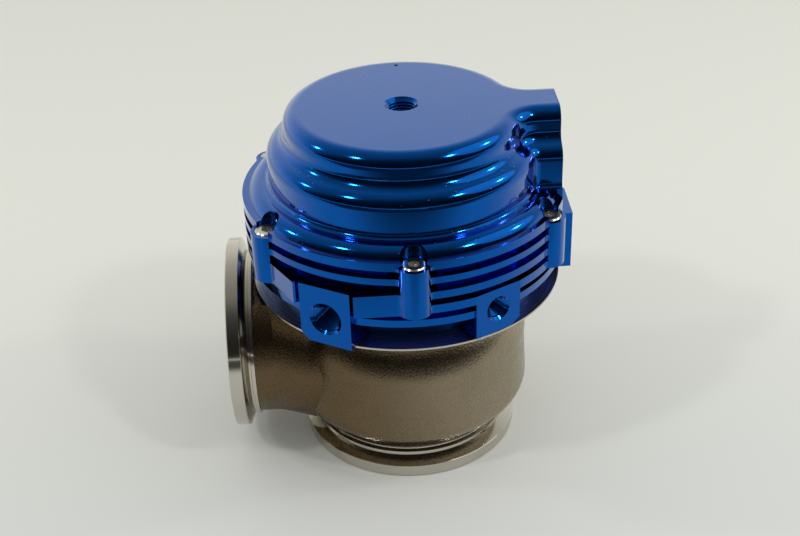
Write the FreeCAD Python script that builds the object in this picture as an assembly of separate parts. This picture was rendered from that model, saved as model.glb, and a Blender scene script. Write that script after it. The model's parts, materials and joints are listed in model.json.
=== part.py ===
import FreeCAD, Part
import math
import os

from FreeCAD import Vector as V

os.makedirs("parts", exist_ok=True)

# Frame: mm, origin on the inlet flange face at the valve axis, +Z up the valve axis,
# outlet toward -X, lug of the upper housing toward +X.

# ---- valve body -----------------------------------------------------------------------
inlet_rim_r = 33.8
rim_thick = 4.0            # both V-band rims
band_slope = 0.42          # rise of the V-band flank per mm of radius
inlet_neck_r = 30.1
inlet_bore_r = 24.0
chamber_r = 33.4
body_r = 37.5
body_top_z = 56.0
pad_r = 31.0               # machined pad under the gasket
outlet_face_x = -55.2
outlet_z = 35.35
outlet_rim_r = 29.65
outlet_neck_r = 25.4
outlet_bore_r = 20.5
register_r = 24.2          # pilot recess in the outlet face
register_deep = 1.6
neck_long = 3.2            # neck and lip behind a rim's flank
pipe_end_x = -31.0         # outlet casting where it meets the bulb
pipe_end_z = 30.6
pipe_end_r = 24.6
duct_bend_x = -44.5
duct_z = 32.4
duct_r = 19.0
seat_pocket_r = 26.2
seat_pocket_deep = 4.4

# ---- stack of thin parts between body and actuator --------------------------------------
gasket_thick = 0.6
shield_r = 47.0
shield_thick = 0.6
base_z = body_top_z + gasket_thick + shield_thick

# ---- actuator ---------------------------------------------------------------------------
joint_z = 76.4             # cap / base parting plane
tier1_r = 34.8
tier2_r = 40.2
tier3_r = 46.6
fin_r = 48.2
round_r = 4.4              # convex round-over of every tier
ledge_z = joint_z + 9.6    # top of the first fin
shoulder_z = ledge_z + 3.0
foot_r = 1.4               # fillet at the foot of tier 2
tier2_high = 8.2
tier2_top_z = shoulder_z + tier2_high
tier_step = 7.7            # height of the S between tiers 1 and 2
tier1_foot_z = tier2_top_z + tier_step
top_z = tier1_foot_z + 6.2
groove1 = (joint_z + 4.6, joint_z + 7.0)
groove2 = (joint_z, joint_z + 2.6)
groove3 = (72.1, 74.1)
groove4 = (67.1, 69.5)
groove_r = 43.5
cutter_r = 6.0
groove_stop = 12.0         # degrees between a boss and the end of a groove
fin5 = (64.8, 67.1)
fin5_r = 47.4
root_r = 40.5              # base below the last fin
lug_x = 45.3
lug_inset = 25.7           # tier radius minus lug half width
blend_k = 42.7             # distance of the lug blend centres from the axis
wall = 3.5
port_r = 4.35              # tapped pipe port
small_port_r = 3.15
port_mouth = 0.8           # lead-in chamfer of a port

# ---- fasteners --------------------------------------------------------------------------
screw_pcd_r = 46.6
screw_angles = [30 + 60 * i for i in range(6)]
screw_r = 1.97
screw_head_r = 3.5
screw_head_h = 4.0
screw_seat_z = joint_z + 4.5
screw_end_z = joint_z - 5.1
socket_flats = 3.0
boss_r = 4.7
boss_top_z = joint_z + 8.1
boss_foot_z = 69.7
base_screw_pcd_r = 22.0
base_screw_angles = [45, 135, 225, 315]
base_screw_r = 2.47
base_head_r = 4.25
base_head_h = 5.0
base_socket_flats = 4.0

# ---- valve and moving stack ---------------------------------------------------------------
lift = 9.0
stem_r = 4.0
stem_top_z = joint_z + 14.2
thread_r = 2.95
head_r = 22.6
head_face_z = 2.7
guide_r = 7.0
guide_z = (38.0, 57.6)
seal_r = 7.5
run_gap = 0.04
plate_z = joint_z + 3.0    # underside of the diaphragm at the plates
diaphragm_thick = 1.0
plate_thick = 1.8
cup_wall = 1.4
cup_high = 4.6
floor_z = 62.4             # floor of the lower chamber
lower_bore_r = 36.6
plate_r = lower_bore_r - 6.0
clamp_r = lower_bore_r + 5.8
port_back = 4.0            # a port drill starts this far inside the bore wall
coil_steps = 20            # sections per turn of a spring

TAU = 2 * math.pi


def rad(a):
    return math.radians(a)


def cyl(r, z0, z1, x=0.0, y=0.0):
    return Part.makeCylinder(r, z1 - z0, V(x, y, z0))


def cone(r0, r1, z0, z1, x=0.0, y=0.0):
    return Part.makeCone(r0, r1, z1 - z0, V(x, y, z0))


def tube(r0, r1, z0, z1):
    return cyl(r1, z0, z1).cut(cyl(r0, z0 - 1, z1 + 1))


def box(x0, x1, y0, y1, z0, z1):
    return Part.makeBox(x1 - x0, y1 - y0, z1 - z0, V(x0, y0, z0))


def spun(shape, angle):
    out = shape.copy()
    out.rotate(V(0, 0, 0), V(0, 0, 1), angle)
    return out


def line(a, b):
    return ("line", a, b)


def arc(a, centre, r, b0, b1):
    """Arc in (r, z) from elevation b0 to b1 about centre."""
    def at(b):
        return (centre[0] + r * math.cos(b), centre[1] + r * math.sin(b))
    return ("arc", at(b0), at((b0 + b1) / 2), at(b1))


def edges_of(segs, place):
    out = []
    for s in segs:
        p = [place(*q) for q in s[1:]]
        out.append(Part.LineSegment(p[0], p[1]).toShape() if s[0] == "line"
                   else Part.Arc(p[0], p[1], p[2]).toShape())
    return out


def closed(segs, corners, place):
    """Face bounded by the segments and then the corner points."""
    edges = edges_of(segs, place)
    pts = [segs[-1][-1]] + list(corners) + [segs[0][1]]
    for a, b in zip(pts, pts[1:]):
        edges.append(Part.LineSegment(place(*a), place(*b)).toShape())
    return Part.Face(Part.Wire(edges))


def turned(pts):
    """Solid of revolution about Z from (r, z) points."""
    p = [V(r, 0, z) for r, z in pts]
    return Part.Face(Part.makePolygon(p + [p[0]])).revolve(V(0, 0, 0), V(0, 0, 1), 360)


def fuse_all(shapes):
    out = shapes[0]
    for s in shapes[1:]:
        out = out.fuse(s)
    return out.removeSplitter()


def hexagon(flats, z0, z1, x=0.0, y=0.0):
    r = flats / math.sqrt(3)
    p = [V(x + r * math.cos(rad(60 * i)), y + r * math.sin(rad(60 * i)), z0) for i in range(7)]
    return Part.Face(Part.makePolygon(p)).extrude(V(0, 0, z1 - z0))


# ---- outer shape of the upper housing -----------------------------------------------------
def tier_segments():
    r1, r2, rr = tier1_r, tier2_r, round_r
    dx, dz = r2 - r1, tier1_foot_z - tier2_top_z
    half = math.atan2(dx, dz)
    both = dz / math.sin(2 * half)      # concave plus convex radius of the S between tiers
    rc = both - rr
    return [
        arc(None, (r1 - rr, top_z - rr), rr, math.pi / 2, 0),
        line((r1, top_z - rr), (r1, tier1_foot_z)),
        arc(None, (r1 + rc, tier1_foot_z), rc, math.pi, math.pi + 2 * half),
        arc(None, (r2 - rr, tier2_top_z), rr, 2 * half, 0),
        line((r2, tier2_top_z), (r2, shoulder_z + foot_r)),
        arc(None, (r2 + foot_r, shoulder_z + foot_r), foot_r, math.pi, 1.5 * math.pi),
    ]


def rz(r, z):
    return V(r, 0, z)


def cap_outside():
    segs = tier_segments()
    foot = segs[-1][-1]
    inner = tier3_r - round_r
    ledge = math.asin((ledge_z - (shoulder_z - round_r)) / round_r)
    main = segs + [
        line(foot, (inner, shoulder_z)),
        arc(None, (inner, shoulder_z - round_r), round_r, math.pi / 2, ledge),
    ]
    body = closed(main, [(fin_r - 2.2, ledge_z - 3), (0, ledge_z - 3), (0, top_z)], rz)
    body = body.revolve(V(0, 0, 0), V(0, 0, 1), 360)
    low = ledge_z - 2
    side = closed(segs, [(foot[0], low), (lug_inset, low), (lug_inset, top_z)],
                  lambda r, z: V(0, r - lug_inset, z)).extrude(V(lug_x + 6, 0, 0))
    lug = side.fuse(side.mirror(V(0, 0, 0), V(0, 1, 0)))
    cy = blend_k - lug_inset
    cx = math.sqrt(blend_k ** 2 - cy ** 2)
    parts = [body, lug]
    for s in (1, -1):
        corner = Part.Face(Part.makePolygon([V(0, 0, low), V(cx, s * cy, low), V(cx, 0, low),
                                             V(0, 0, low)])).extrude(V(0, 0, top_z - low))
        core = closed(segs, [(blend_k, segs[-1][-1][1]), (blend_k, top_z + 1),
                             (segs[0][1][0], top_z + 1)],
                      lambda r, z: V(cx + (blend_k - r), s * cy, z))
        core = core.revolve(V(cx, s * cy, 0), V(0, 0, 1), 360)
        parts.append(corner.cut(core))
    return fuse_all(parts)


def flange_ring(r, z0, z1, b0, b1, extra=()):
    """Disc with the six screw bosses, their flanks filleted into the rim."""
    disc = cyl(r, z0, z1)
    bosses = [spun(cyl(boss_r, b0, b1, screw_pcd_r), a) for a in screw_angles]
    body = fuse_all([disc] + bosses + list(extra))
    flank = []
    for e in body.Edges:
        v = e.Vertexes
        if len(v) != 2 or abs(v[0].X - v[1].X) > 1e-3 or abs(v[0].Y - v[1].Y) > 1e-3:
            continue
        p = v[0].Point
        near = min(math.hypot(p.x - screw_pcd_r * math.cos(rad(a)),
                              p.y - screw_pcd_r * math.sin(rad(a))) for a in screw_angles)
        if abs(near - boss_r) < 0.05:
            flank.append(e)
    return body.makeFillet(1.6, flank)


def groove(z0, z1, a0, a1, floor_r=None):
    """Slot milled round the rim between two bosses, with ends left by the round cutter."""
    floor_r = groove_r if floor_r is None else floor_r
    path = floor_r + cutter_r
    ring = tube(floor_r, floor_r + 2 * cutter_r, z0, z1)
    big = 200
    wedge = Part.Face(Part.makePolygon([
        V(0, 0, z0), V(big * math.cos(rad(a0)), big * math.sin(rad(a0)), z0),
        V(big * math.cos(rad((a0 + a1) / 2)), big * math.sin(rad((a0 + a1) / 2)), z0),
        V(big * math.cos(rad(a1)), big * math.sin(rad(a1)), z0), V(0, 0, z0),
    ])).extrude(V(0, 0, z1 - z0))
    out = ring.common(wedge)
    for a in (a0, a1):
        out = out.fuse(cyl(cutter_r, z0, z1, path * math.cos(rad(a)), path * math.sin(rad(a))))
    return out


def radial(r, d0, d1, z, angle, r2=None):
    """Drilled hole along a horizontal radius, from distance d0 out to d1."""
    if r2 is None:
        tool = Part.makeCylinder(r, d1 - d0, V(d0, 0, z), V(1, 0, 0))
    else:
        tool = Part.makeCone(r, r2, d1 - d0, V(d0, 0, z), V(1, 0, 0))
    return spun(tool, angle)


def port(r, inner, face, z, angle):
    return radial(r, inner, face + 1, z, angle).fuse(
        radial(r, face - port_mouth, face + 0.01, z, angle, r + port_mouth))


open_sectors = [(-90, -30), (30, 90), (90, 150), (150, 210), (210, 270)]
cap_port_z = shoulder_z + 5.0
cap_ceiling_z = top_z - wall
port_boss_r = 9.0
port_boss_z = top_z - 9.5


def upper_housing():
    body = fuse_all([cap_outside(), flange_ring(fin_r, joint_z, ledge_z, joint_z, boss_top_z)])
    body = body.cut(box(lug_x, 80, -60, 60, joint_z - 1, top_z + 2))
    for a0, a1 in open_sectors:
        for z0, z1 in (groove1, groove2):
            body = body.cut(groove(z0 - (2 if z0 == joint_z else 0), z1,
                                   a0 + groove_stop, a1 - groove_stop))
    inside = turned([(0, joint_z - 1), (lower_bore_r + 1.2, joint_z - 1),
                     (lower_bore_r + 1.2, joint_z), (lower_bore_r, joint_z + 1.2),
                     (lower_bore_r, tier2_top_z - 2.0),
                     (tier1_r - wall, tier1_foot_z - 4.3), (tier1_r - wall, cap_ceiling_z - 2),
                     (tier1_r - wall - 2, cap_ceiling_z), (0, cap_ceiling_z)])
    body = body.cut(inside)
    body = body.fuse(cyl(port_boss_r, port_boss_z, cap_ceiling_z + 1))
    body = body.cut(cyl(port_r, port_boss_z - 1, top_z + 1))
    body = body.cut(cone(port_r, port_r + port_mouth, top_z - port_mouth, top_z + 0.01))
    body = body.cut(cyl(0.6, top_z - 0.4, top_z + 1, 0, 28.6))
    body = body.cut(port(port_r, tier2_r - wall - 6, lug_x, cap_port_z, 0))
    for a in screw_angles:
        body = body.cut(spun(cyl(2.25, joint_z - 1, boss_top_z + 5, screw_pcd_r), a))
        body = body.cut(spun(cyl(screw_head_r + 0.25, screw_seat_z, boss_top_z + 5,
                                 screw_pcd_r), a))
    return body.removeSplitter()


block_half = 8.05
block_d = 50.0
block_foot_z = 57.9
panel_d = 48.6
small_block_half = 7.6
small_block_d = 47.6
small_block_top = groove3[0]
port_z = 66.3


def block(d, half, z0, z1, angle):
    return spun(box(34, d, -half, half, z0, z1), angle)


def corner_cut(d, half, angle, side, size_y, size_z):
    """Chamfer on one lower corner of a port block."""
    y = side * half
    p = [V(30, y + side, block_foot_z - 1), V(30, y + side, block_foot_z + size_z),
         V(30, y, block_foot_z + size_z), V(30, y - side * size_y, block_foot_z),
         V(30, y - side * size_y, block_foot_z - 1)]
    return spun(Part.Face(Part.makePolygon(p + [p[0]])).extrude(V(30, 0, 0)), angle)


def lower_housing():
    big = [block(block_d, block_half, block_foot_z, joint_z, a) for a in (0, 120, 240)]
    panels = []
    for a in (120, 240):
        for s in (-1, 1):
            panels.append(spun(box(36, panel_d, -17 if s > 0 else 0, 0 if s > 0 else 17,
                                   groove4[1], joint_z), a + 30 * s))
    ring = flange_ring(fin_r, groove4[1], joint_z, boss_foot_z, joint_z, panels)
    small = block(small_block_d, small_block_half, block_foot_z, small_block_top, -60)
    root = cyl(root_r, base_z, groove4[1] + 1)
    waist = cyl(groove_r, fin5[1] - 1, groove4[1] + 1)
    last = cyl(fin5_r, fin5[0], fin5[1])
    flat = box(lug_x, 80, -60, 60, base_z - 1, joint_z + 1)
    for a0, a1 in ((-90, -30), (30, 90), (150, 210)):
        ring = ring.cut(groove(groove3[0], groove3[1], a0 + groove_stop, a1 - groove_stop))
    body = fuse_all([ring, root, waist, last]).cut(flat)
    body = fuse_all([body, small] + big)
    body = body.cut(spun(box(small_block_d, 60, -small_block_half, small_block_half,
                             block_foot_z, small_block_top), -60))
    for a, s in ((120, -1), (240, -1)):
        body = body.cut(corner_cut(block_d, block_half, a, s, 2.3, 2.5))
    body = body.cut(corner_cut(small_block_d, small_block_half, -60, 1, 3.4, 2.2))
    chamber = turned([(0, floor_z), (lower_bore_r - 3, floor_z), (lower_bore_r, floor_z + 3),
                      (lower_bore_r, joint_z + 1), (0, joint_z + 1)])
    body = body.cut(chamber)
    body = body.fuse(tube(stem_r + 0.35, 12.0, base_z + 0.6, 69.0))
    body = body.cut(cyl(stem_r + 0.35, base_z - 1, 70))
    body = body.cut(cyl(guide_r + 0.3, base_z - 1, guide_z[1] + 0.3))
    body = body.cut(cyl(seal_r + 0.05, 64.2, 70))
    body = body.cut(tube(lower_bore_r - 1, clamp_r + 0.2, joint_z - diaphragm_thick, joint_z + 1))
    for a in (0, 240):
        body = body.cut(port(port_r, lower_bore_r - port_back, block_d, port_z, a))
    body = body.cut(port(small_port_r, lower_bore_r - port_back, small_block_d, port_z - 0.8, -60))
    for a in screw_angles:
        body = body.cut(spun(cyl(screw_r + run_gap, screw_end_z - 0.5, joint_z + 1,
                                 screw_pcd_r), a))
    for a in base_screw_angles:
        body = body.cut(spun(cyl(base_screw_r + 0.25, base_z - 1, floor_z + 1,
                                 base_screw_pcd_r), a))
    return body.removeSplitter()


# ---- valve body -----------------------------------------------------------------------------
def along_x(shape):
    """Turn a shape built along Z to run along -X from the outlet face."""
    out = shape.copy()
    out.rotate(V(0, 0, 0), V(0, 1, 0), 90)
    out.translate(V(outlet_face_x, 0, outlet_z))
    return out


def band_rim(r, neck):
    """V-band rim with its sloped flank, a relief and a narrow lip, face at z = 0."""
    rise = (r - neck) * band_slope
    z = rim_thick + rise
    return turned([(0, 0), (r - 0.3, 0), (r, 0.3), (r, rim_thick - 0.15), (r - 0.15, rim_thick),
                   (neck, z), (neck, z + 0.5), (neck + 0.9, z + 0.8), (neck + 0.9, z + 1.8),
                   (neck + 0.1, z + 2.0), (neck + 0.1, z + neck_long), (0, z + neck_long)])


def ring_x(x, z, r):
    return Part.Wire(Part.makeCircle(r, V(x, 0, z), V(1, 0, 0)))


def valve_body():
    neck_z = rim_thick + (inlet_rim_r - inlet_neck_r) * band_slope + 3.0
    bulb = Part.Face(Part.Wire(edges_of([
        line((0, neck_z - 2), (inlet_neck_r, neck_z - 2)),
        line((inlet_neck_r, neck_z - 2), (inlet_neck_r, neck_z + 0.3)),
        ("arc", (inlet_neck_r, neck_z + 0.3), (31.7, neck_z + 3.6), (35.0, neck_z + 5.4)),
        ("arc", (35.0, neck_z + 5.4), (37.0, neck_z + 8.2), (body_r, neck_z + 12.0)),
        line((body_r, neck_z + 12.0), (body_r - 0.6, 34)),
        ("arc", (body_r - 0.6, 34), (body_r - 3.2, 45.6), (27.0, 51.4)),
        line((27.0, 51.4), (27.0, body_top_z - 1)),
        line((27.0, body_top_z - 1), (0, body_top_z - 1)),
        line((0, body_top_z - 1), (0, neck_z - 2)),
    ], rz))).revolve(V(0, 0, 0), V(0, 0, 1), 360)
    pad = turned([(0, body_top_z - 4.6), (pad_r - 1.2, body_top_z - 4.6),
                  (pad_r, body_top_z - 3.4), (pad_r, body_top_z), (0, body_top_z)])
    foot = band_rim(inlet_rim_r, inlet_neck_r)
    rim = along_x(band_rim(outlet_rim_r, outlet_neck_r))
    x0 = outlet_face_x + rim_thick + (outlet_rim_r - outlet_neck_r) * band_slope + neck_long
    x1 = x0 + 4.5
    pipe_r = outlet_neck_r + 0.1
    pipe = fuse_all([
        rim,
        Part.makeCylinder(pipe_r, x1 - x0, V(x0, 0, outlet_z), V(1, 0, 0)),
        Part.makeLoft([ring_x(x1, outlet_z, pipe_r), ring_x(pipe_end_x, pipe_end_z, pipe_end_r)],
                      True, True),
        Part.makeCylinder(pipe_end_r, -pipe_end_x - 4, V(pipe_end_x, 0, pipe_end_z), V(1, 0, 0)),
    ])
    pipe = pipe.cut(box(-shield_r - 0.3, 30, -40, 40, body_top_z - 1.2, 80))
    body = fuse_all([bulb, pipe, pad, foot])
    inside = Part.Face(Part.Wire(edges_of([
        line((0, seat_pocket_deep - 1), (inlet_bore_r, seat_pocket_deep - 1)),
        line((inlet_bore_r, seat_pocket_deep - 1), (inlet_bore_r, 8.6)),
        ("arc", (inlet_bore_r, 8.6), (27.4, 13.6), (chamber_r, 19.5)),
        line((chamber_r, 19.5), (chamber_r - 0.6, 33)),
        ("arc", (chamber_r - 0.6, 33), (28.6, 42.2), (18.0, 45.2)),
        line((18.0, 45.2), (0, 45.2)),
        line((0, 45.2), (0, seat_pocket_deep - 1)),
    ], rz))).revolve(V(0, 0, 0), V(0, 0, 1), 360)
    straight = outlet_face_x + 3.4
    duct = fuse_all([
        Part.makeCylinder(register_r, register_deep + 1, V(outlet_face_x - 1, 0, outlet_z),
                          V(1, 0, 0)),
        Part.makeCylinder(outlet_bore_r, 4.4, V(outlet_face_x - 1, 0, outlet_z), V(1, 0, 0)),
        Part.makeLoft([ring_x(straight, outlet_z, outlet_bore_r),
                       ring_x(duct_bend_x, duct_z, duct_r)], True, True),
        Part.makeCylinder(duct_r, 20, V(duct_bend_x, 0, duct_z), V(1, 0, 0)),
    ])
    hub = turned([(0, 38.5), (10.2, 38.5), (11.4, 40.5), (13.5, 48), (0, 48)])
    body = body.cut(inside).cut(duct).fuse(hub)
    body = body.cut(cyl(seat_pocket_r, -1, seat_pocket_deep))
    body = body.cut(cyl(guide_r - 0.02, 30, body_top_z + 1))
    for a in base_screw_angles:
        body = body.cut(spun(cyl(base_screw_r + run_gap, body_top_z - 8.0, body_top_z + 1,
                                 base_screw_pcd_r), a))
    return body.removeSplitter()


def valve_seat():
    mouth = head_r - 1.9
    return turned([(mouth, 0), (seat_pocket_r - 0.35, 0), (seat_pocket_r - 0.05, 0.3),
                   (seat_pocket_r - 0.05, seat_pocket_deep), (head_r, seat_pocket_deep),
                   (mouth, seat_pocket_deep - (head_r - mouth))])


def valve():
    edge = seat_pocket_deep
    low = head_r - (edge - head_face_z)
    return fuse_all([
        turned([(0, head_face_z), (low - 0.02, head_face_z), (head_r - 0.02, edge),
                (head_r - 0.02, edge + 1.6), (head_r - 1.0, edge + 2.4), (12.0, edge + 3.6),
                (6.6, edge + 6.4), (stem_r, edge + 12.0), (0, edge + 12.0)]),
        cyl(stem_r, edge + 11.0, plate_z - plate_thick),
        cyl(thread_r, plate_z - plate_thick - 1, stem_top_z - 0.6),
        cone(thread_r, thread_r - 0.6, stem_top_z - 0.6, stem_top_z),
    ])


def valve_guide():
    return turned([(stem_r + run_gap, guide_z[0]), (guide_r - 0.8, guide_z[0]),
                   (guide_r - 0.02, guide_z[0] + 1), (guide_r - 0.02, guide_z[1] - 0.4),
                   (guide_r - 0.4, guide_z[1]), (stem_r + run_gap, guide_z[1])])


def stem_seal():
    return turned([(stem_r + run_gap, 64.3), (seal_r, 64.3), (seal_r, 67.2),
                   (stem_r + 1.4, 67.2), (stem_r + 1.0, 66.0), (stem_r + run_gap, 66.0)])


def seal_retainer():
    return tube(stem_r + 0.4, seal_r, 67.3, 68.5)


def body_gasket():
    out = tube(guide_r + 0.4, pad_r, body_top_z, body_top_z + gasket_thick)
    for a in base_screw_angles:
        out = out.cut(spun(cyl(base_screw_r + 0.3, 0, 100, base_screw_pcd_r), a))
    return out


def heat_shield():
    z = body_top_z + gasket_thick
    out = tube(guide_r + 0.4, shield_r, z, z + shield_thick)
    for a in base_screw_angles:
        out = out.cut(spun(cyl(base_screw_r + 0.3, 0, 100, base_screw_pcd_r), a))
    return out


def socket_screw(r, head, head_h, flats, seat, end, x):
    body = fuse_all([
        turned([(0, seat), (head, seat), (head, seat + head_h - 0.35),
                (head - 0.35, seat + head_h), (0, seat + head_h)]),
        cyl(r, end + 0.4, seat + 0.5),
        cone(r - 0.4, r, end, end + 0.4),
    ])
    body = body.cut(hexagon(flats, seat + head_h - head_h * 0.55, seat + head_h + 1))
    body.translate(V(x, 0, 0))
    return body


def cap_screws():
    return [spun(socket_screw(screw_r, screw_head_r, screw_head_h, socket_flats, screw_seat_z,
                              screw_end_z, screw_pcd_r), a) for a in screw_angles]


def base_screws():
    washer = 1.0
    return [spun(socket_screw(base_screw_r, base_head_r, base_head_h, base_socket_flats,
                              floor_z + washer, body_top_z - 7.4, base_screw_pcd_r), a)
            for a in base_screw_angles]


def base_washers():
    out = []
    for a in base_screw_angles:
        w = tube(base_screw_r + 0.2, 4.9, floor_z, floor_z + 1.0)
        w.translate(V(base_screw_pcd_r, 0, 0))
        out.append(spun(w, a))
    return out


# ---- diaphragm stack --------------------------------------------------------------------------
def diaphragm():
    t = diaphragm_thick
    return turned([(thread_r + 0.1, plate_z), (plate_r + 0.6, plate_z), (plate_r + 2.2, plate_z - 0.4),
                   (plate_r + 3.4, plate_z - 1.8), (lower_bore_r - 0.2, joint_z - t + 0.6),
                   (lower_bore_r + 1.4, joint_z - t), (clamp_r, joint_z - t), (clamp_r, joint_z),
                   (lower_bore_r + 1.0, joint_z), (lower_bore_r - 0.1, joint_z + 0.4),
                   (plate_r + 4.2, plate_z - 0.9), (plate_r + 2.7, plate_z + 0.6),
                   (plate_r + 0.6, plate_z + t), (thread_r + 0.1, plate_z + t)])


def lower_plate():
    z1 = plate_z
    z0 = plate_z - plate_thick
    return turned([(thread_r + 0.06, z0), (7.0, z0), (7.0, z0), (plate_r - 1.0, z0),
                   (plate_r, z0 + 1.0), (plate_r, z1), (thread_r + 0.06, z1)])


def spring_cup():
    z0 = plate_z + diaphragm_thick
    z1 = z0 + plate_thick
    return turned([(thread_r + 0.06, z0), (plate_r, z0), (plate_r, z0 + cup_high),
                   (plate_r - cup_wall, z0 + cup_high), (plate_r - cup_wall, z1),
                   (thread_r + 0.06, z1)])


nut_z = plate_z + diaphragm_thick + plate_thick


def stem_washer():
    return tube(thread_r + 0.15, 8.0, nut_z, nut_z + 1.4)


def stem_nut():
    z = nut_z + 1.4
    nut = hexagon(10.0, z, z + 5.0)
    nut = nut.common(turned([(0, z), (5.2, z), (5.9, z + 0.5), (5.9, z + 4.5), (5.2, z + 5.0),
                             (0, z + 5.0)]))
    return nut.cut(cyl(thread_r + run_gap, z - 1, z + 6))


def coil(mean_r, wire, turns, z0, z1):
    """Compression spring with closed ends, ground flat on z0 and z1."""
    dead, dead_pitch = 0.8, wire + 0.35
    grind = 0.275 * wire
    low, high = z0 + grind, z1 - grind
    active = turns - 2 * dead
    pitch = (high - low - 2 * dead * dead_pitch) / active
    steps = round(turns * coil_steps)
    rings = []
    for i in range(steps + 1):
        t = turns * i / steps
        z = (low + dead_pitch * t if t < dead else
             high - dead_pitch * (turns - t) if t > turns - dead else
             low + dead_pitch * dead + pitch * (t - dead))
        a = TAU * t
        rings.append(Part.Wire(Part.makeCircle(
            wire / 2, V(mean_r * math.cos(a), mean_r * math.sin(a), z),
            V(-math.sin(a), math.cos(a), 0))))
    return Part.makeLoft(rings, True, True).common(cyl(mean_r + wire, z0, z1))


def ceiling():
    return cap_ceiling_z


def outer_spring():
    return coil(26.4, 3.0, 4.4, nut_z, ceiling())


def middle_spring():
    return coil(20.6, 2.5, 5.0, nut_z, ceiling())


def inner_spring():
    return coil(14.6, 2.1, 5.6, nut_z, ceiling())


nodes = {
    "valve_body": valve_body,
    "valve_seat": valve_seat,
    "valve": valve,
    "valve_guide": valve_guide,
    "body_gasket": body_gasket,
    "heat_shield": heat_shield,
    "lower_housing": lower_housing,
    "base_screws": base_screws,
    "base_washers": base_washers,
    "stem_seal": stem_seal,
    "seal_retainer": seal_retainer,
    "diaphragm": diaphragm,
    "lower_plate": lower_plate,
    "spring_cup": spring_cup,
    "stem_washer": stem_washer,
    "stem_nut": stem_nut,
    "outer_spring": outer_spring,
    "middle_spring": middle_spring,
    "inner_spring": inner_spring,
    "upper_housing": upper_housing,
    "cap_screws": cap_screws,
}

for name, make in nodes.items():
    shape = make()
    if isinstance(shape, list):
        shape = Part.makeCompound(shape)
    solids = len(shape.Solids)
    bb = shape.BoundBox
    print(name, "solids", solids, "valid", shape.isValid(),
          "vol %.0f" % shape.Volume, "z %.2f..%.2f" % (bb.ZMin, bb.ZMax))
    shape.exportStep("parts/%s.step" % name)
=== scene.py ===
import json
import math

import bpy
from mathutils import Matrix, Vector


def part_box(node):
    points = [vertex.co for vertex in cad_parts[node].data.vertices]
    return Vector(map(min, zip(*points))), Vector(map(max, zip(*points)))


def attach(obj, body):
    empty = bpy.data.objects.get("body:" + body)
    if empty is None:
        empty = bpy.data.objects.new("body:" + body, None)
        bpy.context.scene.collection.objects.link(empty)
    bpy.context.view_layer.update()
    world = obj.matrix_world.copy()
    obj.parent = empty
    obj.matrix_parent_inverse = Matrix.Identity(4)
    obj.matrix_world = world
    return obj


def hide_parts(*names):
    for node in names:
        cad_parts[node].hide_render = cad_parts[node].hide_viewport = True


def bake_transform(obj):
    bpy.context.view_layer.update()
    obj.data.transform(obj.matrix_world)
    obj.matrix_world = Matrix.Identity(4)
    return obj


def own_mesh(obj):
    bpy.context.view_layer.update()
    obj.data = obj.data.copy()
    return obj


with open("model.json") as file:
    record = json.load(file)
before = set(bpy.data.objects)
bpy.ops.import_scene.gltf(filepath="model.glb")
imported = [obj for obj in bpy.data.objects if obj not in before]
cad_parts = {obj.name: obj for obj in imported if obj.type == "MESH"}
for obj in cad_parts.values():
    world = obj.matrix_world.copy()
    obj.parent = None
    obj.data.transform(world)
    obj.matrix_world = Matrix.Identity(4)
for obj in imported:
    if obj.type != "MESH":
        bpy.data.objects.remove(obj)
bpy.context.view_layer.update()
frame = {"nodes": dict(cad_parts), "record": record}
nodes = frame["nodes"]
print("frame loaded:", len(nodes), "nodes")

# ---- camera: place in metres, lens and film in millimetres
camera = {
    "place": (-0.01596, -0.35360, 0.27087),
    "right": (0.99801, -0.05656, -0.02793),
    "up": (0.05325, 0.51806, 0.85368),
    "lens": 59.87,
    "film": 36.0,
    "nearest": 0.01,
}


def addCamera(c):
    data = bpy.data.cameras.new("camera")
    data.lens = c["lens"]
    data.sensor_width = c["film"]
    data.clip_start = c["nearest"]
    obj = bpy.data.objects.new("camera", data)
    bpy.context.collection.objects.link(obj)
    right = Vector(c["right"]).normalized()
    up = Vector(c["up"])
    up = (up - right * up.dot(right)).normalized()
    turn = Matrix((right, up, right.cross(up))).transposed().to_4x4()
    obj.matrix_world = Matrix.Translation(c["place"]) @ turn
    bpy.context.scene.camera = obj


addCamera(camera)
print("camera placed")


# ---- small helpers for materials
def newMaterial(name):
    mat = bpy.data.materials.new(name)
    mat.use_nodes = True
    tree = mat.node_tree
    return mat, tree, tree.nodes["Principled BSDF"]


def addNode(tree, kind, **values):
    node = tree.nodes.new(kind)
    for key, value in values.items():
        setattr(node, key, value)
    return node


def wire(tree, a, b):
    tree.links.new(a, b)


def mathNode(tree, op, a, b=None, c=None):
    node = addNode(tree, "ShaderNodeMath", operation=op)
    for i, v in enumerate((a, b, c)):
        if v is None:
            continue
        if isinstance(v, (int, float)):
            node.inputs[i].default_value = v
        else:
            wire(tree, v, node.inputs[i])
    return node.outputs[0]


def mixColor(tree, factor, a, b):
    node = addNode(tree, "ShaderNodeMix", data_type="RGBA")
    wire(tree, factor, node.inputs[0])
    for socket, v in ((node.inputs[6], a), (node.inputs[7], b)):
        if isinstance(v, bpy.types.NodeSocket):
            wire(tree, v, socket)
        else:
            socket.default_value = (*v, 1.0)
    return node.outputs[2]


def mixValue(tree, factor, a, b):
    node = addNode(tree, "ShaderNodeMix", data_type="FLOAT")
    for socket, v in ((node.inputs[0], factor), (node.inputs[2], a), (node.inputs[3], b)):
        if isinstance(v, bpy.types.NodeSocket):
            wire(tree, v, socket)
        else:
            socket.default_value = v
    return node.outputs[0]


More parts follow.
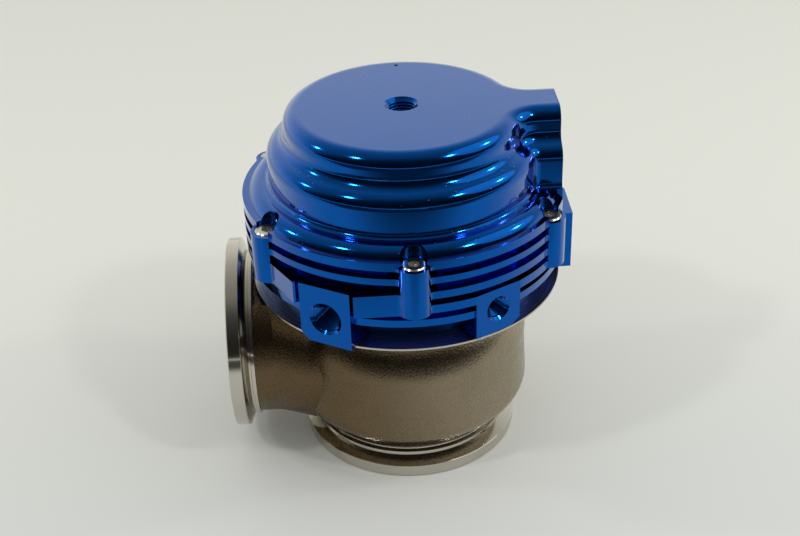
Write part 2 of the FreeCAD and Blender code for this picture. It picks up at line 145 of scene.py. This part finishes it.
def softRange(tree, value, span, ends=(0.0, 1.0)):
    # goes smoothly from ends[0] to ends[1] while value crosses span
    node = addNode(tree, "ShaderNodeMapRange", interpolation_type="SMOOTHSTEP")
    labels = ("From Min", "From Max", "To Min", "To Max")
    for label, v in zip(labels, tuple(span) + tuple(ends)):
        node.inputs[label].default_value = v
    wire(tree, value, node.inputs["Value"])
    return node.outputs[0]


def noiseNode(tree, vector, scale, detail):
    node = addNode(tree, "ShaderNodeTexNoise")
    node.inputs["Scale"].default_value = scale
    node.inputs["Detail"].default_value = detail
    wire(tree, vector, node.inputs["Vector"])
    return node.outputs[0]


def addBump(tree, shader, height, strength, distance):
    node = addNode(tree, "ShaderNodeBump")
    node.inputs["Strength"].default_value = strength
    node.inputs["Distance"].default_value = distance
    wire(tree, height, node.inputs["Height"])
    wire(tree, node.outputs[0], shader.inputs["Normal"])


def shade(color, share):
    return tuple(min(1.0, c * share) for c in color)


def newGroup(name, inputs, outputs):
    group = bpy.data.node_groups.new(name, "ShaderNodeTree")
    for label, value in inputs:
        sock = group.interface.new_socket(name=label, in_out="INPUT",
                                          socket_type="NodeSocketFloat")
        sock.default_value = value
    for label in outputs:
        group.interface.new_socket(name=label, in_out="OUTPUT", socket_type="NodeSocketFloat")
    return group, group.nodes.new("NodeGroupInput"), group.nodes.new("NodeGroupOutput")


def placeGroup(tree, group, **values):
    node = tree.nodes.new("ShaderNodeGroup")
    node.node_tree = group
    for key, value in values.items():
        node.inputs[key].default_value = value
    return node


# ---- shared effects
turnedMarks = {
    "pitch": 0.00025,
    "detail": 3.0,
    "patchScale": 60.0,
    "patchDetail": 4.0,
}
specks = {
    "scale": 900.0,
    "size": 0.08,
    "rare": 0.86,  # share of the cells without a speck
    "upward": 0.35,  # how far a surface has to face up
}


def makeTurnedGrain(g):
    # fine rings left by a lathe tool about the valve axis, on flat faces and up the walls
    group, gin, gout = newGroup("turnedGrain", [("Pitch", g["pitch"])], ["Value", "Patches"])
    coord = addNode(group, "ShaderNodeTexCoord").outputs["Object"]
    split = addNode(group, "ShaderNodeSeparateXYZ")
    wire(group, coord, split.inputs[0])
    x, y, z = split.outputs
    square = mathNode(group, "ADD", mathNode(group, "MULTIPLY", x, x),
                      mathNode(group, "MULTIPLY", y, y))
    along = mathNode(group, "ADD", mathNode(group, "SQRT", square), z)
    rings = addNode(group, "ShaderNodeTexNoise", noise_dimensions="1D")
    rings.inputs["Scale"].default_value = 1.0
    rings.inputs["Detail"].default_value = g["detail"]
    wire(group, mathNode(group, "DIVIDE", along, gin.outputs["Pitch"]), rings.inputs["W"])
    wire(group, rings.outputs[0], gout.inputs["Value"])
    wire(group, noiseNode(group, coord, g["patchScale"], g["patchDetail"]), gout.inputs["Patches"])
    return group


def makeDust(s):
    # small pale specks lying on surfaces that face up
    group, gin, gout = newGroup("dust", [("Scale", s["scale"]), ("Amount", s["size"])], ["Mask"])
    coord = addNode(group, "ShaderNodeTexCoord")
    up = addNode(group, "ShaderNodeSeparateXYZ")
    wire(group, addNode(group, "ShaderNodeNewGeometry").outputs["Normal"], up.inputs[0])
    cells = addNode(group, "ShaderNodeTexVoronoi")
    wire(group, coord.outputs["Object"], cells.inputs["Vector"])
    wire(group, gin.outputs["Scale"], cells.inputs["Scale"])
    near = mathNode(group, "LESS_THAN", cells.outputs["Distance"], gin.outputs["Amount"])
    pick = addNode(group, "ShaderNodeSeparateColor")
    wire(group, cells.outputs["Color"], pick.inputs[0])
    few = mathNode(group, "GREATER_THAN", pick.outputs[0], s["rare"])
    facing = mathNode(group, "GREATER_THAN", up.outputs[2], s["upward"])
    mask = mathNode(group, "MULTIPLY", mathNode(group, "MULTIPLY", near, few), facing)
    wire(group, mask, gout.inputs["Mask"])
    return group


turnedGrain = makeTurnedGrain(turnedMarks)
dust = makeDust(specks)
print("shared effects built")


# ---- blue anodised cap and base
blueFinish = {
    "dye": (0.002, 0.098, 0.44),
    "toneLow": 0.93,
    "toneHigh": 1.06,
    "rough": 0.10,
    "roughSpread": 0.06,
    "grainPitch": 0.00022,
    "grainHeight": 0.0000012,
    "grainStrength": 0.35,
    "speckScale": 800.0,
    "speckSize": 0.09,
    "speckColor": (0.30, 0.42, 0.62),
    "speckRough": 0.5,
    "coat": (0.05, 0.62),  # faint seen square on, strong seen at a slant
    "coatSlant": (0.28, 0.58),
    "coatRough": 0.06,
    "coatIor": 1.6,
}


def makeBlueAnodised(f):
    mat, tree, shader = newMaterial("blueAnodised")
    grain = placeGroup(tree, turnedGrain, Pitch=f["grainPitch"])
    mask = placeGroup(tree, dust, Scale=f["speckScale"], Amount=f["speckSize"]).outputs["Mask"]
    tone = mixColor(tree, grain.outputs["Patches"], shade(f["dye"], f["toneLow"]),
                    shade(f["dye"], f["toneHigh"]))
    wire(tree, mixColor(tree, mask, tone, f["speckColor"]), shader.inputs["Base Color"])
    rough = mathNode(tree, "MULTIPLY_ADD", grain.outputs["Patches"], f["roughSpread"],
                     f["rough"] - f["roughSpread"] / 2)
    rough = mathNode(tree, "MAXIMUM", rough, mathNode(tree, "MULTIPLY", mask, f["speckRough"]))
    wire(tree, rough, shader.inputs["Roughness"])
    addBump(tree, shader, grain.outputs["Value"], f["grainStrength"], f["grainHeight"])
    shader.inputs["Metallic"].default_value = 1.0
    slant = addNode(tree, "ShaderNodeLayerWeight")
    slant.inputs["Blend"].default_value = 0.5
    wire(tree, softRange(tree, slant.outputs["Facing"], f["coatSlant"], f["coat"]),
         shader.inputs["Coat Weight"])
    shader.inputs["Coat Roughness"].default_value = f["coatRough"]
    shader.inputs["Coat IOR"].default_value = f["coatIor"]
    return mat


# ---- blasted casting, turned at its two flanges
castFinish = {
    "tintAndShadeLight": (0.20, 0.140, 0.075),  # heat tint and painted shade of the outlet side
    "tintAndShadeDark": (0.065, 0.043, 0.022),
    # the right side's colours are painted light, lighter than the outlet side
    "light": (0.50, 0.425, 0.31),
    "dark": (0.18, 0.145, 0.095),
    "tintShadeLightSpan": (-0.030, 0.045),  # along x, from the outlet side's heat tint and painted shade to the right side's painted light
    "rough": 0.27,
    "roughSpread": 0.2,
    "fineShare": 0.6,
    "fineDetail": 4.0,
    "broadShare": 0.5,
    "broadScale": 45.0,
    "broadDetail": 5.0,
    "grainScale": 1650.0,
    "grainHeight": 0.00021,
    "grainStrength": 0.5,
    "machined": (0.62, 0.585, 0.51),
    "machinedLow": 0.85,
    "machinedRough": 0.12,
    "machinedPitch": 0.0003,
    "machinedGrain": 0.01,  # height of the turning marks against the blasted grain
    "inletTurned": 0.0084,  # length of the turned part, from the flange's face
    "outletTurned": 0.0078,
}


def makeCastBody(f):
    mat, tree, shader = newMaterial("castBody")
    coord = addNode(tree, "ShaderNodeTexCoord").outputs["Object"]
    split = addNode(tree, "ShaderNodeSeparateXYZ")
    wire(tree, coord, split.inputs[0])
    x, z = split.outputs[0], split.outputs[2]
    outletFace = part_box("valve_body")[0].x
    machined = mathNode(tree, "MAXIMUM", mathNode(tree, "LESS_THAN", z, f["inletTurned"]),
                        mathNode(tree, "LESS_THAN", x, outletFace + f["outletTurned"]))
    fine = noiseNode(tree, coord, f["grainScale"], f["fineDetail"])
    broad = noiseNode(tree, coord, f["broadScale"], f["broadDetail"])
    mixed = mathNode(tree, "MULTIPLY_ADD", fine, f["fineShare"],
                     mathNode(tree, "MULTIPLY", broad, f["broadShare"]))
    # darker and browner towards the outlet side, lighter towards the right: partly heat tint,
    # partly painted shade and painted light
    cast = mixColor(tree, softRange(tree, x, f["tintShadeLightSpan"]),
                    mixColor(tree, mixed, f["tintAndShadeDark"], f["tintAndShadeLight"]),
                    mixColor(tree, mixed, f["dark"], f["light"]))
    marks = placeGroup(tree, turnedGrain, Pitch=f["machinedPitch"]).outputs["Value"]
    turned = mixColor(tree, marks, shade(f["machined"], f["machinedLow"]), f["machined"])
    wire(tree, mixColor(tree, machined, cast, turned), shader.inputs["Base Color"])
    castRough = mathNode(tree, "MULTIPLY_ADD", fine, f["roughSpread"],
                         f["rough"] - f["roughSpread"] / 2)
    wire(tree, mixValue(tree, machined, castRough, f["machinedRough"]),
         shader.inputs["Roughness"])
    height = mixValue(tree, machined, fine, mathNode(tree, "MULTIPLY", marks, f["machinedGrain"]))
    addBump(tree, shader, height, f["grainStrength"], f["grainHeight"])
    shader.inputs["Metallic"].default_value = 1.0
    return mat


# ---- plainer finishes
metalMarks = {
    "toneLow": 0.86,
    "toneHigh": 1.1,
    "roughSpread": 0.12,
    "strength": 0.4,
}


def makeMetal(name, color, rough, pitch=0.0003, height=0.000002, metallic=1.0):
    m = metalMarks
    mat, tree, shader = newMaterial(name)
    grain = placeGroup(tree, turnedGrain, Pitch=pitch)
    tone = mixColor(tree, grain.outputs["Patches"], shade(color, m["toneLow"]),
                    shade(color, m["toneHigh"]))
    wire(tree, tone, shader.inputs["Base Color"])
    wire(tree, mathNode(tree, "MULTIPLY_ADD", grain.outputs["Value"], m["roughSpread"],
                        rough - m["roughSpread"] / 2), shader.inputs["Roughness"])
    addBump(tree, shader, grain.outputs["Value"], m["strength"], height)
    shader.inputs["Metallic"].default_value = metallic
    return mat


finishes = {
    "blue_anodised": makeBlueAnodised(blueFinish),
    "cast_body": makeCastBody(castFinish),
    "machined_steel": makeMetal("machinedSteel", (0.58, 0.57, 0.55), 0.22),
    "bronze": makeMetal("bronze", (0.62, 0.44, 0.22), 0.28),
    "thin_steel": makeMetal("sheetSteel", (0.60, 0.57, 0.52), 0.28, 0.0006),
    "screw_steel": makeMetal("screwSteel", (0.62, 0.60, 0.56), 0.24),
    "seal_rubber": makeMetal("sealRubber", (0.02, 0.02, 0.02), 0.6, 0.001, 0.00001, 0.0),
    "diaphragm_rubber": makeMetal("diaphragmRubber", (0.09, 0.04, 0.03), 0.55,
                                  0.001, 0.00001, 0.0),
    "plate_aluminium": makeMetal("plateAluminium", (0.72, 0.72, 0.73), 0.3),
    "spring_steel": makeMetal("springSteel", (0.25, 0.25, 0.26), 0.35, 0.001),
}
for entry in frame["record"]["subparts"]:
    mesh = nodes[entry["node"]].data
    mesh.materials.clear()
    mesh.materials.append(finishes[entry["material_slot"]])
print("finishes assigned:", len(finishes))

# ---- internal threads of the tapped ports
threads = {
    "pitch": 0.00094,
    "high": 0.00042,
    "sunk": 0.00004,  # how far the tooth's foot lies in the wall
    "foot": 0.46,  # half the tooth's foot against the pitch
    "crest": 0.12,  # the crest against the foot
    "steps": 40,
    "smoothUnder": 25,
}
ports = {
    "capPortThread": {"mouth": (0, 0, 0.1102), "out": (0, 0, 1),
                      "radius": 0.00435, "deep": 0.0080},
    "lugPortThread": {"mouth": (0.0444, 0, 0.094), "out": (1, 0, 0),
                      "radius": 0.00435, "deep": 0.0070},
    "basePortLeftThread": {"mount": "base_port_left", "out": (-0.5, -0.8660254, 0),
                           "radius": 0.00435, "deep": 0.0110},
    "basePortSideThread": {"mount": "base_port_side", "out": (1, 0, 0),
                           "radius": 0.00435, "deep": 0.0110},
    "smallPortThread": {"mount": "small_port", "out": (0.5, -0.8660254, 0),
                        "radius": 0.00315, "deep": 0.0090},
}
mountPlaces = {mount["name"]: mount["pos_m"] for mount in frame["record"]["mounts"]}


def deselectAll():
    for obj in list(bpy.context.selected_objects):
        obj.select_set(False)


def addObject(name, mesh):
    deselectAll()
    obj = bpy.data.objects.new(name, mesh)
    bpy.context.collection.objects.link(obj)
    bpy.context.view_layer.objects.active = obj
    obj.select_set(True)
    return obj


def makeThread(name, p, t):
    # one tooth profile, wound up with the Screw modifier and closed at both ends
    data = bpy.data.meshes.new(name)
    foot, crest = p["radius"] + t["sunk"], p["radius"] - t["high"]
    half = t["pitch"] * t["foot"]
    data.from_pydata([(foot, 0, -half), (crest, 0, -half * t["crest"]),
                      (crest, 0, half * t["crest"]), (foot, 0, half)],
                     [(0, 1), (1, 2), (2, 3), (3, 0)], [])
    obj = addObject(name, data)
    wind = obj.modifiers.new("wind", "SCREW")
    wind.angle = 2 * math.pi
    wind.screw_offset = -t["pitch"]
    wind.iterations = int(p["deep"] / t["pitch"])
    wind.steps = t["steps"]
    wind.render_steps = t["steps"]
    bpy.ops.object.modifier_apply(modifier="wind")
    bpy.ops.object.mode_set(mode="EDIT")
    bpy.ops.mesh.select_all(action="SELECT")
    bpy.ops.mesh.remove_doubles(threshold=1e-7)
    bpy.ops.mesh.select_all(action="DESELECT")
    bpy.ops.mesh.select_non_manifold()
    bpy.ops.mesh.fill_holes(sides=8)
    bpy.ops.mesh.select_all(action="SELECT")
    bpy.ops.mesh.normals_make_consistent(inside=False)
    bpy.ops.object.mode_set(mode="OBJECT")
    mouth = Vector(p["mouth"] if "mouth" in p else mountPlaces[p["mount"]])
    turn = Vector((0, 0, 1)).rotation_difference(Vector(p["out"])).to_matrix().to_4x4()
    obj.data.transform(Matrix.Translation(mouth) @ turn)
    bpy.ops.object.shade_smooth_by_angle(angle=math.radians(t["smoothUnder"]))
    obj.data.materials.append(finishes["blue_anodised"])
    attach(obj, "housing")


for name, p in ports.items():
    makeThread(name, p, threads)
print("threads cut:", len(ports))

# ---- the springs and the diaphragm, as merged and smooth-shaded copies of their nodes
springs = {
    "outerSpringCoil": "outer_spring",
    "middleSpringCoil": "middle_spring",
    "innerSpringCoil": "inner_spring",
}


def mergedCopy(name, node):
    obj = addObject(name, nodes[node].data.copy())
    bpy.ops.mesh.customdata_custom_splitnormals_clear()
    bpy.ops.object.mode_set(mode="EDIT")
    bpy.ops.mesh.select_all(action="SELECT")
    bpy.ops.mesh.remove_doubles(threshold=1e-6)
    bpy.ops.object.mode_set(mode="OBJECT")
    bpy.ops.object.shade_smooth_by_angle(angle=math.radians(40))
    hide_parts(node)
    return obj


def makeSpring(name, node):
    # a merged copy of the coil, carried with the housing, with a mesh of its own
    obj = mergedCopy(name, node)
    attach(obj, "housing")
    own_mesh(obj)


def makeDiaphragm():
    obj = mergedCopy("diaphragmDisc", "diaphragm")
    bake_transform(obj)


for name, node in springs.items():
    makeSpring(name, node)
makeDiaphragm()
print("pieces that give with the stem:", len(springs) + 1)

# ---- room: pale paper underneath, pale wall behind, dark end in front
room = {
    "floorSize": 3.0,
    "floorDrop": 0.0001,
    "floorColor": (0.80, 0.80, 0.738),
    "floorFrontShade": (0.70, 0.715, 0.70),
    "floorSpan": (-0.16, 0.16),  # from front to back; the greyer front is painted shade
    "floorRough": 0.6,
    "floorGloss": 0.2,
    "cloudColor": (0.70, 0.70, 0.68),
    "cloudScale": 3.0,
    "cloudDetail": 2.0,
    "cloudShare": 0.03,
    "nearEdge": (-0.24, -0.13),  # in reflections the paper ends a hand's breadth in front
    "nearShade": 0.10,
    "ambient": (0.66, 0.665, 0.65),
    "wall": (1.0, 1.01, 0.95),
    # brightness met on the way from the back horizon over the top to the front horizon
    "wallSteps": [(0.0, 0.90), (0.20, 0.76), (0.31, 0.54), (0.40, 0.41), (0.50, 0.31),
                  (0.59, 0.24), (0.65, 0.15), (0.70, 0.08), (0.77, 0.045), (0.88, 0.02),
                  (1.0, 0.015)],
}


def makeFloor(r):
    deselectAll()
    bpy.ops.mesh.primitive_plane_add(size=r["floorSize"], location=(0, 0, -r["floorDrop"]))
    floor = bpy.context.object
    floor.name = "floor"
    floor.data.transform(floor.matrix_world)
    floor.matrix_world = Matrix.Identity(4)
    mat, tree, shader = newMaterial("floorPaper")
    coord = addNode(tree, "ShaderNodeTexCoord").outputs["Object"]
    split = addNode(tree, "ShaderNodeSeparateXYZ")
    wire(tree, coord, split.inputs[0])
    y = split.outputs[1]
    # paper painted greyer towards the front: painted shade of light falling off
    graded = mixColor(tree, softRange(tree, y, r["floorSpan"]), r["floorFrontShade"],
                      r["floorColor"])
    cloud = mathNode(tree, "MULTIPLY", noiseNode(tree, coord, r["cloudScale"], r["cloudDetail"]),
                     r["cloudShare"])
    tone = mixColor(tree, cloud, graded, r["cloudColor"])
    near = softRange(tree, y, r["nearEdge"], (1.0 - r["nearShade"], 0.0))
    glossy = addNode(tree, "ShaderNodeLightPath").outputs["Is Glossy Ray"]
    fade = mathNode(tree, "MULTIPLY", near, glossy)
    wire(tree, mixColor(tree, fade, tone, (0.0, 0.0, 0.0)), shader.inputs["Base Color"])
    shader.inputs["Roughness"].default_value = r["floorRough"]
    shader.inputs["Specular IOR Level"].default_value = r["floorGloss"]
    floor.data.materials.append(mat)


def makeWorld(r):
    world = bpy.data.worlds.new("room")
    bpy.context.scene.world = world
    world.use_nodes = True
    tree = world.node_tree
    coord = addNode(tree, "ShaderNodeTexCoord")
    split = addNode(tree, "ShaderNodeSeparateXYZ")
    wire(tree, coord.outputs["Generated"], split.inputs[0])
    over = mathNode(tree, "DIVIDE",
                    mathNode(tree, "ARCTAN2", split.outputs[2], split.outputs[1]), math.pi)
    ramp = addNode(tree, "ShaderNodeValToRGB")
    wire(tree, over, ramp.inputs[0])
    stops = ramp.color_ramp.elements
    while len(stops) > 1:
        stops.remove(stops[-1])
    for i, (place, value) in enumerate(r["wallSteps"]):
        stop = stops.new(place) if i else stops[0]
        stop.position = place
        stop.color = tuple(value * c for c in r["wall"]) + (1.0,)
    glossy = addNode(tree, "ShaderNodeLightPath").outputs["Is Glossy Ray"]
    back = tree.nodes["Background"]
    wire(tree, mixColor(tree, glossy, r["ambient"], ramp.outputs[0]), back.inputs["Color"])
    back.inputs["Strength"].default_value = 1.0


makeFloor(room)
makeWorld(room)

# ---- lamps: azimuth and height in degrees, distance and width in metres, watts
lamps = {
    "leftBack": {"az": 173, "el": 36, "far": 1.1, "wide": 0.09, "watts": 0.8},
    "leftFront": {"az": 212, "el": 51, "far": 1.1, "wide": 0.09, "watts": 1.2},
    "rightFront": {"az": 320, "el": 48, "far": 1.1, "wide": 0.09, "watts": 1.2},
    "rightBack": {"az": 0, "el": 37, "far": 1.1, "wide": 0.09, "watts": 0.8},
    "leftBox": {"az": 152, "el": 33, "far": 1.1, "wide": 0.80, "watts": 0.12},
    "rightBox": {"az": 352, "el": 42, "far": 1.1, "wide": 0.90, "watts": 1.5},
}
lampAim = Vector((0, 0, 0.05))


def addLamp(name, p):
    data = bpy.data.lights.new(name, "AREA")
    data.shape = "DISK"
    data.size = p["wide"]
    data.energy = p["watts"]
    obj = bpy.data.objects.new(name, data)
    bpy.context.collection.objects.link(obj)
    az, el = math.radians(p["az"]), math.radians(p["el"])
    flat = math.cos(el)
    obj.location = Vector((flat * math.cos(az), flat * math.sin(az), math.sin(el))) * p["far"]
    obj.rotation_euler = (obj.location - lampAim).to_track_quat("Z", "Y").to_euler()


for name, p in lamps.items():
    addLamp(name, p)
bpy.context.scene.view_settings.view_transform = "Standard"
print("room and lamps set")
